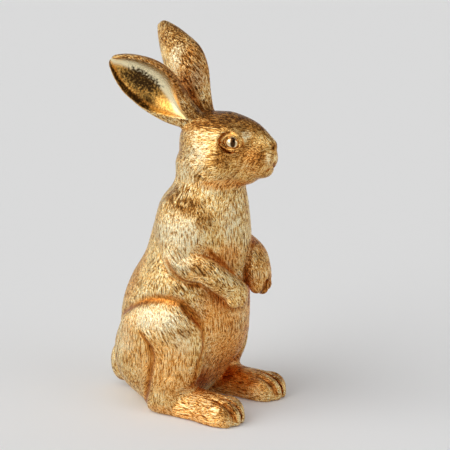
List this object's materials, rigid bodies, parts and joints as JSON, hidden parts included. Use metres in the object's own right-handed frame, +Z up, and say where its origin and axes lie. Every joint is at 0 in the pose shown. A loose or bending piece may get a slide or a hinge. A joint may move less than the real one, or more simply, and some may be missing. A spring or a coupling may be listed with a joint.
{
  "type": "standing rabbit figurine",
  "caption": "Rabbit standing on its haunches with forepaws folded on its chest, cast in sculpted fur and finished in gold leaf.",
  "frame": {"origin": "on the table, under the middle of the figurine's bounding box", "axes": "+Z up, the rabbit faces -Y, +X is the rabbit's left side"},
  "size_m": [0.105, 0.1552, 0.3049],
  "materials": {
    "gold_leaf": "gold metal leaf with sculpted fur, over cast resin",
    "polished_gold": "burnished gold leaf over cast resin",
    "steel_pin": "plain cut steel",
    "dowel_wood": "raw beech",
    "felt": "brown felt",
    "plug_rubber": "matt black"
  },
  "bodies": {
    "root": {"body": "gold_leaf", "head": "gold_leaf", "ear_left": "gold_leaf", "ear_right": "gold_leaf", "foreleg_left": "gold_leaf", "foreleg_right": "gold_leaf", "hind_leg_left": "gold_leaf", "hind_leg_right": "gold_leaf", "tail": "gold_leaf", "eye_left": "polished_gold", "eye_right": "polished_gold", "neck_dowel": "dowel_wood", "ear_pin_left": "steel_pin", "ear_pin_right": "steel_pin", "foreleg_pin_left": "steel_pin", "foreleg_pin_right": "steel_pin", "hind_leg_pin_upper_left": "steel_pin", "hind_leg_pin_lower_left": "steel_pin", "hind_leg_pin_upper_right": "steel_pin", "hind_leg_pin_lower_right": "steel_pin", "tail_pin": "steel_pin", "base_plug": "plug_rubber", "base_pad": "felt", "foot_pad_left": "felt", "foot_pad_right": "felt"}
  },
  "joints": []
}
